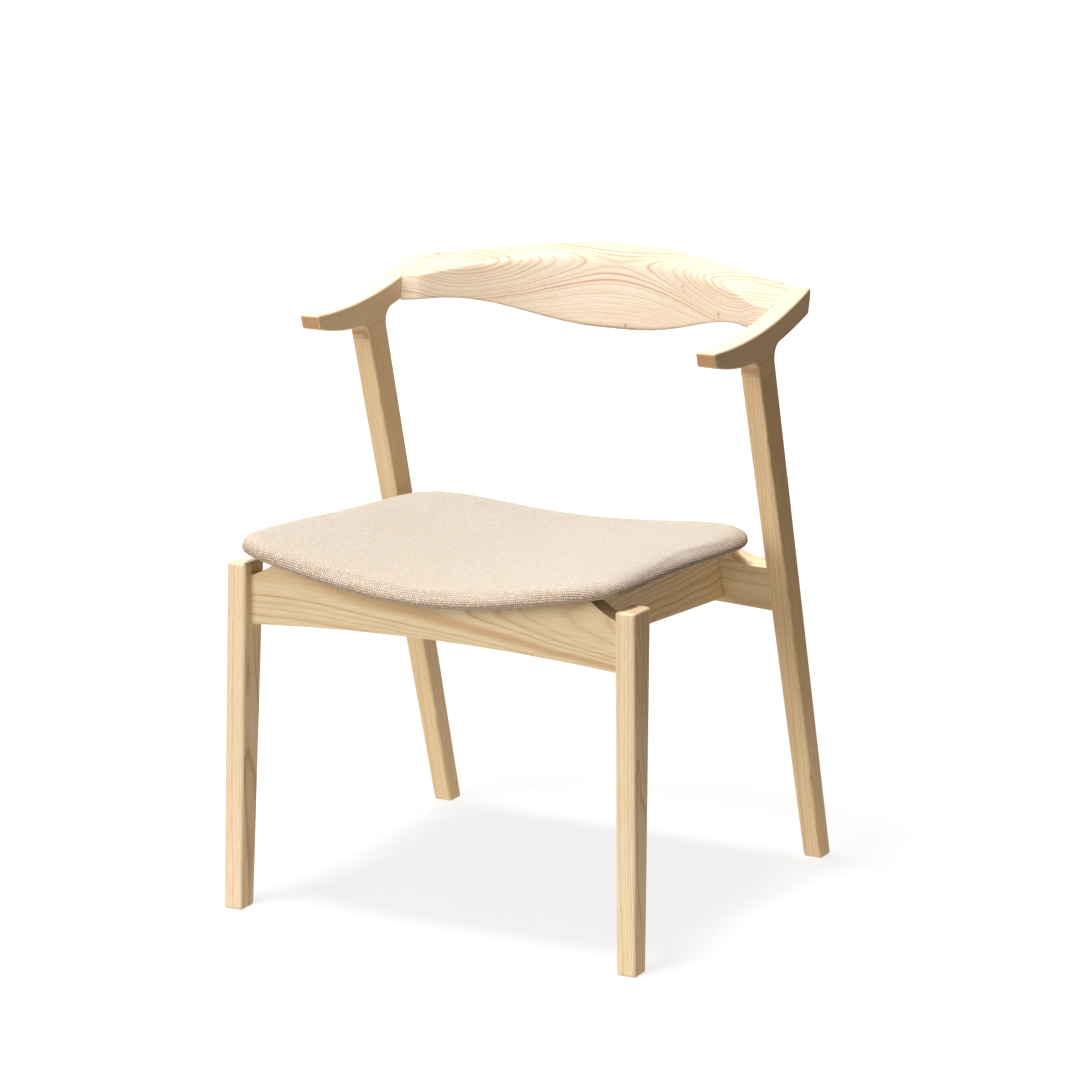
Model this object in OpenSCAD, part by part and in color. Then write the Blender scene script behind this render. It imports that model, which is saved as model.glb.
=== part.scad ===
// Low-backed wooden armchair with a sculpted back rail, short arms and an upholstered,
// saddle-shaped seat.  Millimetres, +Z up, the chair faces -Y, X = 0 is the plane of symmetry.
// The origin is on the floor, under the middle of the chair.  Inside the modules y is counted
// from the front face of the front feet, and place() moves each piece to the origin's frame.

/* [Overall] */
// Width over the feet and the arms
overall_w = 520; // [505:1:540]
// Depth from the front feet to the back of the rear feet
foot_depth = 509; // [500:1:520]
// How far the seat stands out in front of the front feet
seat_overhang = 15; // [10:1:20]
// Thickness of the boards that legs, arms and rails are cut from
board_t = 24; // [22:0.5:26]

/* [Front legs] */
// Height of the front legs
front_leg_h = 400; // [396:1:404]
// Depth of a front leg at the floor
front_foot_d = 25; // [22:1:28]
// Depth of a front leg at its top
front_top_d = 38; // [34:1:40]
// How far the front face of the leg leans back at its top
front_lean = 8; // [6:1:10]
// How far each front leg leans in towards the middle at its top
front_splay = 7.5; // [5:0.5:9]

/* [Rear legs] */
// Depth of a rear leg at the floor
rear_foot_d = 25; // [22:1:28]
// Depth of a rear leg where it meets the arm
rear_seam_d = 43; // [40:1:46]
// Height of the joint between the rear leg and the arm
seam_z = 604; // [600:1:608]
// Front face of the rear leg at that joint, behind the front feet
seam_y = 297; // [294:1:300]

/* [Arms] */
// Front tip of the arm, behind the front feet
arm_tip_y = 181; // [175:1:188]
// Lowest height of the arm's top edge
arm_low_z = 649.5; // [645:0.5:655]
// Radius of the arm's hollow top edge
arm_sweep_r = 651; // [600:1:700]
// Depth of the arm measured square to its top edge
arm_d = 27; // [25:0.5:29]
// Radius of the blends between arm and stub
arm_blend_r = 16; // [10:1:20]

/* [Back rail] */
// Height of the top of the back rail at its middle
back_top_z = 711; // [705:1:716]
// Radius of the hollow front face, seen from above
back_hollow_r = 312; // [300:1:330]
// Depth of the hollow's bottom, behind the front feet
back_mid_y = 452; // [446:1:456]
// Height of the lower edge at the middle
back_low_z = 611; // [605:1:616]

/* [Seat frame] */
// Front face of the front rail, behind the front feet
front_rail_y = 19; // [17:1:21]
// Outer face of each side rail, from the middle
side_rail_x = 172; // [168:1:176]
// Radius of the dowels
dowel_r = 5; // [4:0.5:5]

/* [Seat] */
// Half of the width that the seat's outline is worked out from
seat_half_w = 238; // [234:0.5:240]
// Rear edge of the seat at its middle, behind the front feet
seat_rear_y = 393; // [388:1:396]
// Radius of the rounded edge, which is half of the seat's thickness
seat_edge_r = 8.5; // [8.25:0.25:9.5]
// Rise of the padding in the middle
seat_crown = 3; // [1:0.5:4]
// Thickness of the moulded plywood
ply_t = 7; // [6:0.5:7.5]
// Thickness of the fabric
cloth_t = 1.2; // [1:0.1:1.4]

/* [Hidden] */

half_w = overall_w / 2;
inner_x = half_w - board_t;
centre_y = (foot_depth - seat_overhang) / 2;
big = 400;
ash = "#ecd7ae";
ash_dark = "#d9bd8c";

// Front legs lean in, so the front rail's ends follow their inner faces
splay_a = atan(front_splay / front_leg_h);
front_widening = (front_lean + front_top_d - front_foot_d) / front_leg_h;
function front_leg_y(z) = front_lean * z / front_leg_h;
function front_leg_back_y(z) = front_foot_d + front_widening * z;
function leg_inner_x(z) = inner_x - front_splay * z / front_leg_h;

// Rear legs: straight lines for the front and the back edge
rear_back_slope = (foot_depth - seam_y - rear_seam_d) / seam_z;
rear_front_slope = (foot_depth - rear_foot_d - seam_y) / seam_z;
rear_lean_a = atan(rear_back_slope);
function rear_back_y(z) = foot_depth - rear_back_slope * z;
function rear_front_y(z) = foot_depth - rear_foot_d - rear_front_slope * z;
// Front face of the rear rail, whose back is flush with the backs of the legs
function rear_rail_y(z) = rear_back_y(z) - board_t / cos(rear_lean_a);

// Arm: the top edge and the underside are arcs about points on one vertical line each
sweep_y = 215;
arm_end_y = 430;
under_r = 336;
under_y = 272;
under_z = 622;
tip_under_y = 186;
sweep_z = arm_low_z + arm_sweep_r;
function arm_top_z(y) = sweep_z - sqrt(pow(arm_sweep_r, 2) - pow(y - sweep_y, 2));
function arm_rear_under_z(y) = sweep_z - sqrt(pow(arm_sweep_r + arm_d, 2) - pow(y - sweep_y, 2));
function arm_front_under_z(y) = under_z + under_r - sqrt(pow(under_r, 2) - pow(y - under_y, 2));
function steps(a, b, n) = [for (i = [0 : n]) a + (b - a) * i / n];

// Front and rear rail
front_arch_z = 339;
front_arch_h = 9.5;
rear_arch_s = 342;
rear_arch_h = 8;
scoop_r = 95;
scoop_x = 258;
scoop_z = 475.5;
rear_ledge_s = 389.5;
rear_ledge_x = 213;
rear_scoop_r = 40;
side_front_z = 345.5;
side_drop = 0.061;
front_rail_back = front_rail_y + board_t;

// Seat: u and v are x and y in units of 200 mm from the middle of the seat
seat_unit = 200;
seat_mid_y = (seat_rear_y - seat_overhang) / 2;
seat_h = 397;
front_round = 9;
rear_round = 6.5;
rear_bow = 5;
hem_w = 34;
dust_inset = 20;
dust_t = 0.5;
layer_gap = 0.2;
bed_gap = 1;
seat_n = 56;
function seat_z(x, y) =
    let (u = x / seat_unit, v = (y - seat_mid_y) / seat_unit)
    seat_h - 4.4 * v - 3.3 * pow(v, 2) + 7.1 * pow(v, 3)
    + (27.4 - 8.6 * v + 1.1 * pow(v, 2) - 1.1 * pow(v, 3)) * pow(u, 2)
    - (9.4 - v) * pow(u, 4);
function seat_under(x, y) = seat_z(x, y) - seat_edge_r;
board_low = cloth_t + 0.3;
foam_low = board_low + ply_t + layer_gap;

// Outline of the seat: a rounded rectangle, waisted a little, whose rear corners trail its middle
waist = 8;
function half_width(t) = seat_half_w - waist * t - waist * (1 - t * t);
function edge_y(q, t) =
    let (front = -seat_overhang, rear = seat_rear_y + rear_bow * q)
    (front + rear) / 2 + (rear - front) / 2 * t;
function outline(a) =
    let (
        c = cos(a), s = sin(a), n = s < 0 ? front_round : rear_round,
        k = pow(pow(abs(c), n) + pow(abs(s), n), -1 / n),
        x = half_width(k * s) * k * c
    )
    [x, edge_y(pow(x / seat_half_w, 2), k * s)];
function outward(a) =
    let (d = outline(a + 0.5) - outline(a - 0.5))
    [d.y, -d.x] / norm(d);
function inset(a, d) = outline(a) - d * outward(a);
function towards_middle(p, s) = [p.x * s, seat_mid_y + (p.y - seat_mid_y) * s];
// One ring of the seat's outline, set in by d, drawn to the middle by s, at height h over the
// underside, with a share of the crown
function ring(d, s, h, crown = 0) = [
    for (i = [0 : seat_n - 1])
        let (p = towards_middle(inset(i * 360 / seat_n, d), s))
        [p.x, p.y, seat_under(p.x, p.y) + h + crown * (1 - pow(s, 4))]
];
shrink_in = [0.15, 0.4, 0.65, 0.85];
shrink_out = [0.85, 0.65, 0.4, 0.15];

// Corner blocks and what goes through them
block_w = 44;
block_h = 22;
block_cut = 12;
front_block_z = 375;
rear_block_z = 368;
bolt_r = 2.95;
bolt_head_r = 6;
bolt_head_h = 3.5;
bolt_hole_r = 3.4;
insert_r = 5;
insert_h = 7;
bolt_inset = 17;
bolt_x = side_rail_x - board_t - bolt_inset;
front_bolt_y = front_rail_back + bolt_inset;
rear_bolt_y = rear_rail_y(rear_block_z + block_h) - bolt_inset;

// Dowels: how deep they sit in the piece that they stand in, and in the piece that they join
dowel_a = 15;
dowel_b = 22;
dowel_fit = 0.05;
hole_spare = 1;
front_dowel_z = [350, 374];
rear_dowel_s = [350, 376];
side_front_dowel_z = [361, 386];
side_rear_dowel_z = [345, 372];
arm_dowel_y = [309, 329];
back_dowels = [[391, 657], [413, 666]];

module place() {
    translate([0, -centre_y, 0]) children();
}

// Draws its children for the right side, which is +X, or mirrored for the left side
module on_side(side) {
    if (side > 0) children();
    else mirror([1, 0, 0]) children();
}

// Extrudes a side view, drawn as [y, z], across the thickness from x0 to x0 + t
module side_view(x0, t) {
    translate([x0, 0, 0]) rotate([90, 0, 90]) linear_extrude(t) children();
}

// Extrudes a front view, drawn as [x, z], backwards from y0 to y0 + t
module front_view(y0, t) {
    translate([0, y0 + t, 0]) rotate([90, 0, 0]) linear_extrude(t) children();
}

// Closed solid through a list of rings, whose first and last rings are capped
module ring_solid(rings) {
    n = len(rings[0]);
    m = len(rings);
    points = [for (r = rings) each r];
    sides = [
        for (j = [0 : m - 2], i = [0 : n - 1])
            let (a = j * n + i, b = j * n + (i + 1) % n)
            each [[a, a + n, b + n], [a, b + n, b]]
    ];
    first = [for (i = [1 : n - 2]) [0, i, i + 1]];
    last = [for (i = [1 : n - 2]) [(m - 1) * n, (m - 1) * n + i + 1, (m - 1) * n + i]];
    polyhedron(points = points, faces = concat(sides, first, last), convexity = 6);
}

// --- legs and arms -------------------------------------------------------------------------

module front_leg(side) {
    color(ash) place() on_side(side) difference() {
        intersection() {
            translate([half_w, 0, 0]) rotate([0, -splay_a, 0]) side_view(-board_t, board_t)
                polygon([
                    [front_leg_y(-5), -5], [front_leg_back_y(-5), -5],
                    [front_leg_back_y(big + 5), big + 5], [front_leg_y(big + 5), big + 5]
                ]);
            translate([0, -board_t, 0]) cube([big, big, front_leg_h]);
        }
        front_rail_holes(dowel_a, 0);
    }
}

module rear_leg(side) {
    color(ash) place() on_side(side) difference() {
        side_view(inner_x, board_t) polygon([
            [foot_depth - rear_foot_d, 0], [foot_depth, 0],
            [seam_y + rear_seam_d, seam_z], [seam_y, seam_z]
        ]);
        rear_rail_holes(dowel_a, 0);
        arm_holes(0, dowel_b);
    }
}

module arm_outline() {
    intersection() {
        offset(r = 3, $fn = 48) offset(delta = -3)
        offset(r = -arm_blend_r, $fn = 48) offset(delta = arm_blend_r)
            polygon(concat(
                [for (y = steps(arm_tip_y, arm_end_y, 28)) [y, arm_top_z(y)]],
                [[arm_end_y - 1.5, arm_top_z(arm_end_y) - 15]],
                [for (y = steps(arm_end_y - 6, rear_back_y(seam_z + 29), 12)) [y, arm_rear_under_z(y)]],
                [[rear_back_y(seam_z - board_t), seam_z - board_t]],
                [[rear_front_y(seam_z - board_t), seam_z - board_t]],
                [for (y = steps(rear_front_y(under_z), tip_under_y, 10)) [y, arm_front_under_z(y)]]
            ));
        translate([0, seam_z]) square([2 * big, big]);
    }
}

module arm(side) {
    color(ash) place() on_side(side) difference() {
        side_view(inner_x, board_t) arm_outline();
        arm_holes(dowel_b, 0);
        back_rail_holes(dowel_a, 0);
    }
}

// --- back rail -----------------------------------------------------------------------------

// Larger of two values with a soft change between them
function soft_max(a, b, k) = (a + b + sqrt(pow(a - b, 2) + k * k)) / 2;
function wave(x, reach) = 0.5 + 0.5 * cos(180 * min(abs(x) / reach, 1));
back_reach = 240;
back_end_y = 368;
back_lean = 0.12;
back_under_reach = 195;
back_low_rise = 31;
back_ledge = 15;
back_rear_r = 330;
back_rear_y = 486;
back_rear_slope = 0.22;
back_sections = 40;
corner_n = 5;
function back_front_y(x) =
    soft_max(back_mid_y - back_hollow_r + sqrt(pow(back_hollow_r, 2) - x * x), back_end_y, 8);
function back_low(x) =
    back_low_z + back_low_rise * pow(1 - wave(x, back_under_reach), 1.35)
    - 3.4 * pow(max(abs(x) - 190, 0) / 46, 1.5);
function back_top(x) =
    let (end_z = arm_top_z(arm_end_y))
    end_z + (back_top_z - end_z) * pow(wave(x, back_reach), 0.626);
function back_rear(x) =
    soft_max(
        back_rear_y - back_rear_r + sqrt(pow(back_rear_r, 2) - x * x),
        arm_end_y - 1 + back_rear_slope * (inner_x - abs(x)), 8
    );
// Corners of one section: front-bottom, front-top, rear-top, rear-bottom.  At its ends the rail's
// top comes down to the top of the arms
function back_corners(x) =
    let (
        e = 1 - wave(x, back_reach),
        fy = back_front_y(x), low = back_low(x), top = back_top(x), ry = back_rear(x),
        rear_low = low + 3 + 18 * pow(e, 1.5), ledge = back_ledge + 2.6 * pow(e, 12)
    )
    [
        [fy, low], [fy + back_lean * (top - ledge - low), top - ledge],
        [ry, top], [ry - (back_lean + 0.06 * e) * (top - rear_low), rear_low]
    ];
// Radii of those corners: tight at the ends of the rail and full at the middle
function back_radii(x) =
    let (w = wave(x, back_reach))
    [3 + 3 * w, 3 + 7 * w, 4 + 6 * w, 5 + 3 * w];
// A corner at b, between a and c, rounded by a quadratic curve that starts r away
function rounded(a, b, c, r) =
    let (p = b + r * (a - b) / norm(a - b), q = b + r * (c - b) / norm(c - b))
    [
        for (i = [0 : corner_n - 1])
            let (t = i / (corner_n - 1))
            p * pow(1 - t, 2) + 2 * b * t * (1 - t) + q * t * t
    ];
function back_section(x) =
    let (c = back_corners(x), r = back_radii(x))
    [
        for (i = [0 : 3], p = rounded(c[(i + 3) % 4], c[i], c[(i + 1) % 4], r[i]))
            [x, p.x, p.y]
    ];

module back_rail() {
    color(ash) place() difference() {
        ring_solid([for (x = steps(-inner_x, inner_x, back_sections)) back_section(x)]);
        for (side = [-1, 1]) on_side(side) back_rail_holes(0, dowel_b);
    }
}

// --- seat frame ----------------------------------------------------------------------------

// What lies above the seat's underside, which the rails' tops are shaped to
module seat_bed(x0, x1, nx, y0, y1, ny) {
    xs = steps(x0, x1, nx);
    ys = steps(y0, y1, ny);
    m = ny + 1;
    n = (nx + 1) * m;
    low = [for (x = xs, y = ys) [x, y, seat_under(x, y) - bed_gap]];
    high = [for (p = low) [p.x, p.y, seat_h + 60]];
    rim = concat(
        [for (i = [0 : nx]) i * m], [for (j = [1 : ny]) nx * m + j],
        [for (i = [nx - 1 : -1 : 0]) i * m + ny], [for (j = [ny - 1 : -1 : 1]) j]
    );
    cells = [
        for (i = [0 : nx - 1], j = [0 : ny - 1])
            let (a = i * m + j)
            each [[a, a + m, a + m + 1], [a, a + m + 1, a + 1]]
    ];
    lid = [for (f = cells) [f[0] + n, f[2] + n, f[1] + n]];
    walls = [
        for (k = [0 : len(rim) - 1])
            let (a = rim[k], b = rim[(k + 1) % len(rim)])
            each [[b, a, a + n], [b, a + n, b + n]]
    ];
    polyhedron(points = concat(low, high), faces = concat(cells, lid, walls), convexity = 6);
}

module front_rail() {
    low_x = leg_inner_x(front_arch_z - front_arch_h);
    scoop = [
        for (x = steps(leg_inner_x(seat_h - 12), scoop_x - 0.8 * scoop_r, 8))
            [x, scoop_z - sqrt(pow(scoop_r, 2) - pow(x - scoop_x, 2))]
    ];
    top = seat_h + 30;
    color(ash) place() difference() {
        front_view(front_rail_y, board_t) polygon(concat(
            [for (x = steps(-low_x, low_x, 24)) [x, front_arch_z - front_arch_h * pow(x / low_x, 2)]],
            scoop, [[170, top], [-170, top]],
            [for (i = [len(scoop) - 1 : -1 : 0]) [-scoop[i].x, scoop[i].y]]
        ));
        seat_bed(-inner_x, inner_x, 24, front_rail_y - 2, front_rail_back + 2, 2);
        for (side = [-1, 1]) on_side(side) {
            front_rail_holes(0, dowel_b);
            side_front_holes(dowel_a, 0);
        }
    }
}

module rear_rail() {
    scoop = [
        for (x = steps(rear_ledge_x, rear_ledge_x - 0.85 * rear_scoop_r, 7))
            [x, rear_ledge_s + rear_scoop_r - sqrt(pow(rear_scoop_r, 2) - pow(x - rear_ledge_x, 2))]
    ];
    top = 430;
    color(ash) place() difference() {
        translate([0, foot_depth, 0]) rotate([rear_lean_a, 0, 0]) front_view(-board_t, board_t)
            polygon(concat(
                [for (x = steps(-inner_x, inner_x, 24)) [x, rear_arch_s - rear_arch_h * pow(x / inner_x, 2)]],
                [[inner_x, rear_ledge_s]], scoop, [[160, top], [-160, top]],
                [for (i = [len(scoop) - 1 : -1 : 0]) [-scoop[i].x, scoop[i].y]],
                [[-inner_x, rear_ledge_s]]
            ));
        seat_bed(-inner_x, inner_x, 24, 350, 430, 4);
        for (side = [-1, 1]) on_side(side) {
            rear_rail_holes(0, dowel_b);
            side_rear_holes(dowel_a, 0);
        }
    }
}

module side_rail(side) {
    low_z = side_front_z - side_drop * (rear_rail_y(side_front_z) - front_rail_back);
    high_z = 430;
    color(ash_dark) place() on_side(side) difference() {
        side_view(side_rail_x - board_t, board_t) polygon([
            [front_rail_back, side_front_z], [rear_rail_y(low_z), low_z],
            [rear_rail_y(high_z), high_z], [front_rail_back, high_z]
        ]);
        seat_bed(side_rail_x - board_t - 4, side_rail_x + 4, 2, front_rail_back - 4, 430, 14);
        side_front_holes(0, dowel_b);
        side_rear_holes(0, dowel_b);
    }
}

// A block glued into the corner between a side rail and the front rail, with a bolt hole
module corner_block_front(side) {
    x = side_rail_x - board_t;
    y = front_rail_back;
    color(ash_dark) place() on_side(side) difference() {
        translate([0, 0, front_block_z]) linear_extrude(block_h) polygon([
            [x, y], [x, y + block_w], [x - block_cut, y + block_w],
            [x - block_w, y + block_cut], [x - block_w, y]
        ]);
        translate([bolt_x, front_bolt_y, front_block_z - 1]) cylinder(r = bolt_hole_r, h = block_h + 2, $fn = 48);
    }
}

// The same at the rear, where the block's back follows the leaning rear rail
module corner_block_rear(side) {
    x = side_rail_x - board_t;
    low_y = rear_rail_y(rear_block_z);
    high_y = rear_rail_y(rear_block_z + block_h);
    color(ash_dark) place() on_side(side) difference() {
        intersection() {
            translate([0, 0, rear_block_z]) linear_extrude(block_h) polygon([
                [x, low_y], [x - block_w, low_y], [x - block_w, high_y - block_cut],
                [x - block_cut, high_y - block_w], [x, high_y - block_w]
            ]);
            side_view(0, big) polygon([
                [low_y, rear_block_z], [0, rear_block_z],
                [0, rear_block_z + block_h], [high_y, rear_block_z + block_h]
            ]);
        }
        translate([bolt_x, rear_bolt_y, rear_block_z - 1]) cylinder(r = bolt_hole_r, h = block_h + 2, $fn = 48);
    }
}

// --- dowels and their holes ----------------------------------------------------------------

// A dowel along +X, from -a to b, and the hole for it: a is on its far side, b on its near side
module dowel(a, b) {
    translate([-a, 0, 0]) rotate([0, 90, 0]) cylinder(r = dowel_r, h = a + b, $fn = 48);
}

module dowel_hole(a, b) {
    spare = [a > 0 ? a + hole_spare : 0.01, b > 0 ? b + hole_spare : 0.01];
    translate([-spare[0], 0, 0]) rotate([0, 90, 0])
        cylinder(r = dowel_r + dowel_fit, h = spare[0] + spare[1], $fn = 48);
}

// Each at_ module puts its children at one joint of the right side, with +X into the first piece
module at_front_rail() {
    for (z = front_dowel_z)
        translate([leg_inner_x(z), front_rail_y + board_t / 2, z]) rotate([0, -splay_a, 0]) children();
}

module at_rear_rail() {
    translate([inner_x, foot_depth, 0]) rotate([rear_lean_a, 0, 0])
        for (s = rear_dowel_s) translate([0, -board_t / 2, s]) children();
}

module at_side_front() {
    for (z = side_front_dowel_z)
        translate([side_rail_x - board_t / 2, front_rail_back, z]) rotate([0, 0, -90]) children();
}

module at_side_rear() {
    for (z = side_rear_dowel_z)
        translate([side_rail_x - board_t / 2, rear_rail_y(z), z]) rotate([0, 0, 90]) children();
}

module at_arm() {
    for (y = arm_dowel_y)
        translate([inner_x + board_t / 2, y, seam_z]) rotate([rear_lean_a, 0, 0]) rotate([0, -90, 0])
            children();
}

module at_back_rail() {
    for (p = back_dowels) translate([inner_x, p.x, p.y]) children();
}

module front_rail_holes(a, b) { at_front_rail() dowel_hole(b, a); }
module rear_rail_holes(a, b) { at_rear_rail() dowel_hole(b, a); }
module side_front_holes(a, b) { at_side_front() dowel_hole(b, a); }
module side_rear_holes(a, b) { at_side_rear() dowel_hole(b, a); }
module arm_holes(a, b) { at_arm() dowel_hole(b, a); }
module back_rail_holes(a, b) { at_back_rail() dowel_hole(b, a); }

module front_rail_dowels(side) { color(ash_dark) place() on_side(side) at_front_rail() dowel(dowel_b, dowel_a); }
module rear_rail_dowels(side) { color(ash_dark) place() on_side(side) at_rear_rail() dowel(dowel_b, dowel_a); }
module arm_dowels(side) { color(ash_dark) place() on_side(side) at_arm() dowel(dowel_b, dowel_b); }
module back_rail_dowels(side) { color(ash_dark) place() on_side(side) at_back_rail() dowel(dowel_b, dowel_a); }
module side_rail_dowels(side) {
    color(ash_dark) place() on_side(side) {
        at_side_front() dowel(dowel_b, dowel_a);
        at_side_rear() dowel(dowel_b, dowel_a);
    }
}

// --- seat ----------------------------------------------------------------------------------

// Puts its children at the four bolts, at the height of the board's underside there
module at_bolts() {
    for (side = [-1, 1], y = [front_bolt_y, rear_bolt_y])
        translate([side * bolt_x, y, seat_under(bolt_x, y) + board_low]) children();
}

module seat_board() {
    d = cloth_t + 1.5;
    color("burlywood") place() difference() {
        ring_solid(concat(
            [for (s = shrink_in) ring(d + 3, s, board_low + ply_t)],
            [ring(d + 3, 1, board_low + ply_t), ring(d, 1, board_low + ply_t / 2), ring(d + 3, 1, board_low)],
            [for (s = shrink_out) ring(d + 3, s, board_low)]
        ));
        at_bolts() translate([0, 0, -2]) cylinder(r = insert_r + 0.05, h = ply_t + 4, $fn = 48);
    }
}

module seat_foam() {
    top = 2 * seat_edge_r - cloth_t - layer_gap;
    d = cloth_t + layer_gap;
    color("khaki") place() ring_solid(concat(
        [for (s = shrink_in) ring(d + 6, s, top, seat_crown)],
        [ring(d + 6, 1, top), ring(d + 2, 1, top - 1.8), ring(d, 1, foam_low + 1), ring(d, 1, foam_low)],
        [for (s = shrink_out) ring(d + 3, s, foam_low)]
    ));
}

module seat_cover() {
    r = seat_edge_r;
    ri = r - cloth_t;
    turn = [90, 60, 30, 0, -30, -60, -90];
    back = [-90, -60, -30, 0, 30, 60, 90];
    color("antiquewhite") place() ring_solid(concat(
        [for (s = shrink_in) ring(r, s, 2 * r, seat_crown)],
        [for (a = turn) ring(r - r * cos(a), 1, r + r * sin(a))],
        [ring(hem_w, 1, 0), ring(hem_w, 1, cloth_t)],
        [for (a = back) ring(r - ri * cos(a), 1, r + ri * sin(a))],
        [for (s = shrink_out) ring(r, s, 2 * r - cloth_t, seat_crown)]
    ));
}

module seat_dust_cover() {
    color("#3b3a38") place() ring_solid(concat(
        [for (s = shrink_in) ring(dust_inset, s, -layer_gap)],
        [ring(dust_inset, 1, -layer_gap), ring(dust_inset, 1, -layer_gap - dust_t)],
        [for (s = shrink_out) ring(dust_inset, s, -layer_gap - dust_t)]
    ));
}

module seat_inserts() {
    color("goldenrod") place() at_bolts() difference() {
        cylinder(r = insert_r, h = insert_h, $fn = 48);
        translate([0, 0, -1]) cylinder(r = bolt_r + 0.05, h = insert_h + 2, $fn = 48);
    }
}

module seat_bolt(low_z, high_z) {
    difference() {
        union() {
            translate([0, 0, low_z]) cylinder(r = bolt_r, h = high_z - low_z, $fn = 48);
            translate([0, 0, low_z - bolt_head_h]) cylinder(r = bolt_head_r, h = bolt_head_h, $fn = 48);
        }
        translate([0, 0, low_z - bolt_head_h - 1]) cylinder(r = 2.3, h = 3, $fn = 6);
    }
}

module seat_bolts() {
    color("silver") place() for (side = [-1, 1]) {
        translate([side * bolt_x, front_bolt_y, 0])
            seat_bolt(front_block_z, seat_under(bolt_x, front_bolt_y) + board_low + insert_h - 1);
        translate([side * bolt_x, rear_bolt_y, 0])
            seat_bolt(rear_block_z, seat_under(bolt_x, rear_bolt_y) + board_low + insert_h - 1);
    }
}

staple_inset = 27;
staple_w = 10;
staple_wire = 0.7;
staple_leg = 5;
module staple() {
    translate([-staple_w / 2, -staple_wire / 2, -staple_wire]) cube([staple_w, staple_wire, staple_wire]);
    for (x = [-staple_w / 2, staple_w / 2 - staple_wire])
        translate([x, -staple_wire / 2, -staple_wire]) cube([staple_wire, staple_wire, staple_leg]);
}

module cover_staples() {
    color("silver") place() for (a = [9 : 9 : 360])
        let (p = inset(a, staple_inset), t = outward(a))
            if (p.y < rear_rail_y(seat_h) - 14)
                translate([p.x, p.y, seat_under(p.x, p.y) - layer_gap - dust_t - 0.05])
                    rotate([0, 0, atan2(t.y, t.x) + 90]) staple();
}

front_leg(-1);  // front_leg_left
front_leg(1);  // front_leg_right
rear_leg(-1);  // rear_leg_left
rear_leg(1);  // rear_leg_right
arm(-1);  // arm_left
arm(1);  // arm_right
back_rail();
front_rail();
rear_rail();
side_rail(-1);  // side_rail_left
side_rail(1);  // side_rail_right
corner_block_front(-1);  // corner_block_front_left
corner_block_front(1);  // corner_block_front_right
corner_block_rear(-1);  // corner_block_rear_left
corner_block_rear(1);  // corner_block_rear_right
front_rail_dowels(-1);  // front_rail_dowels_left
front_rail_dowels(1);  // front_rail_dowels_right
rear_rail_dowels(-1);  // rear_rail_dowels_left
rear_rail_dowels(1);  // rear_rail_dowels_right
side_rail_dowels(-1);  // side_rail_dowels_left
side_rail_dowels(1);  // side_rail_dowels_right
arm_dowels(-1);  // arm_dowels_left
arm_dowels(1);  // arm_dowels_right
back_rail_dowels(-1);  // back_rail_dowels_left
back_rail_dowels(1);  // back_rail_dowels_right
seat_board();
seat_foam();
seat_cover();
seat_dust_cover();
seat_inserts();
seat_bolts();
cover_staples();
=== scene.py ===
"""Looks of the wooden armchair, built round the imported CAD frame.

Blender's unit is the metre, with +Z up and the chair's front at -Y.  Sizes and places here are in
mm and become metres in to_metres() or with MM.  The shapes of the back rail and the seat repeat
the CAD source's formulas, which count y from the front feet; y_at() takes such a y to the frame.
"""

import math

import bmesh
import bpy
import numpy as np
from mathutils import Euler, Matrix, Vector
from mathutils.bvhtree import BVHTree


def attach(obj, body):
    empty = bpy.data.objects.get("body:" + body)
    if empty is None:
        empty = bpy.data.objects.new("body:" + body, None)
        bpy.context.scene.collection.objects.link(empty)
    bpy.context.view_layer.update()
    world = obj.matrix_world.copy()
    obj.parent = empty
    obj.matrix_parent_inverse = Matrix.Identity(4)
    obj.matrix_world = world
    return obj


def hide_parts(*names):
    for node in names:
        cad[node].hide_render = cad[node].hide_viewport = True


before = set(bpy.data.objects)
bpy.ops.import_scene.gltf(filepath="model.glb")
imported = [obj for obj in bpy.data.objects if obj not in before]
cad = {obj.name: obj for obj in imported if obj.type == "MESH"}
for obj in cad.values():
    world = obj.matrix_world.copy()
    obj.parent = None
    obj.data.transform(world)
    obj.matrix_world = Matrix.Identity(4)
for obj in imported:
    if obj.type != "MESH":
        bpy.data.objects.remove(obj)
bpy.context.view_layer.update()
scene = bpy.context.scene
MM = 0.001
CENTRE_Y = 247.0


def y_at(y):
    return y - CENTRE_Y


def to_metres(points):
    return (points - np.array([0, CENTRE_Y, 0])) * MM


def smooth_step(x, a, b):
    t = np.clip((x - a) / (b - a), 0, 1)
    return t * t * (3 - 2 * t)


# --- colours ---------------------------------------------------------------------------------


def srgb(r, g, b):
    """A colour given as the eye sees it, 0 to 255, in the linear values that shaders use."""
    return tuple(
        c / 12.92 if c <= 0.04045 else ((c + 0.055) / 1.055) ** 2.4
        for c in (r / 255, g / 255, b / 255)
    )


def scaled(colour, *factors):
    for f in factors:
        colour = tuple(a * b for a, b in zip(colour, f))
    return colour


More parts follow.
